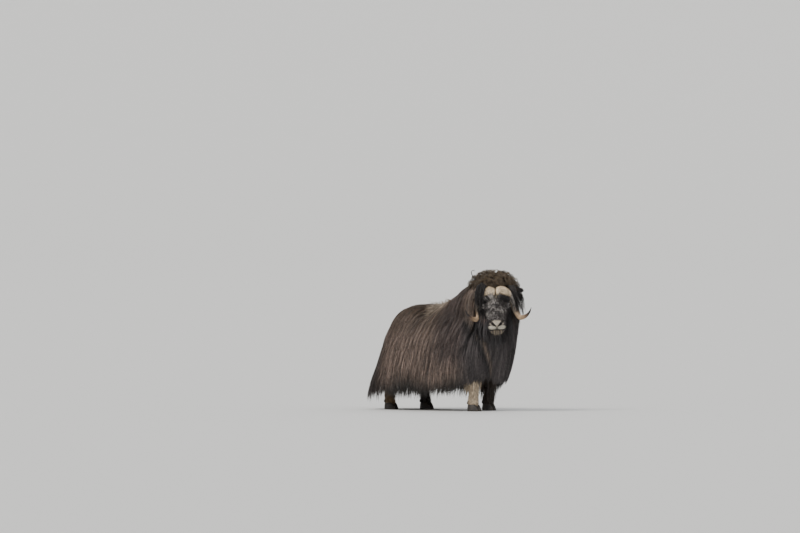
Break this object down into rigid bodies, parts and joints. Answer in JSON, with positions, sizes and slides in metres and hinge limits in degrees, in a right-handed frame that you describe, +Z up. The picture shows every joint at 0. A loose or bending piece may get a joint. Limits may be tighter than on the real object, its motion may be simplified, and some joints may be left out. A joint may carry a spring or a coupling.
{
  "type": "muskox model",
  "caption": "Life-size standing muskox bull with its head turned to its right, in a floor-length shaggy coat, with hooked horns and cloven hooves.",
  "frame": {"origin": "on the floor, under the middle of the animal's bounding box", "axes": "+X from the rump to the chest, +Y to the animal's left, +Z up"},
  "size_m": [2.0894, 0.8696, 1.4593],
  "materials": {
    "coat": "long, dull guard hair, brown",
    "dark_coat": "long, dull guard hair, nearly black",
    "face_fur": "short grizzled fur",
    "leg_fur": "short pale fur",
    "horn": "worn horn, pale at the boss and dark at the tips",
    "eye": "wet gloss",
    "hoof": "dull black horn"
  },
  "bodies": {
    "root": {"hindquarters_left": "coat", "hindquarters_right": "coat", "flank_left": "coat", "flank_right": "coat", "shoulder_left": "coat", "shoulder_right": "coat", "skirt_rear_left": "coat", "skirt_rear_right": "coat", "skirt_flank_left": "coat", "skirt_flank_right": "coat", "skirt_shoulder_left": "coat", "skirt_shoulder_right": "coat", "skirt_front_left": "dark_coat", "skirt_front_right": "dark_coat", "chest": "dark_coat", "neck": "coat", "tail": "coat", "head": "face_fur", "horn_left": "horn", "eye_left": "eye", "ear_left": "dark_coat", "horn_right": "horn", "eye_right": "eye", "ear_right": "dark_coat", "leg_front_left": "leg_fur", "hoof_front_left": "hoof", "leg_front_right": "leg_fur", "hoof_front_right": "hoof", "leg_hind_left": "leg_fur", "hoof_hind_left": "hoof", "leg_hind_right": "leg_fur", "hoof_hind_right": "hoof"}
  },
  "joints": []
}
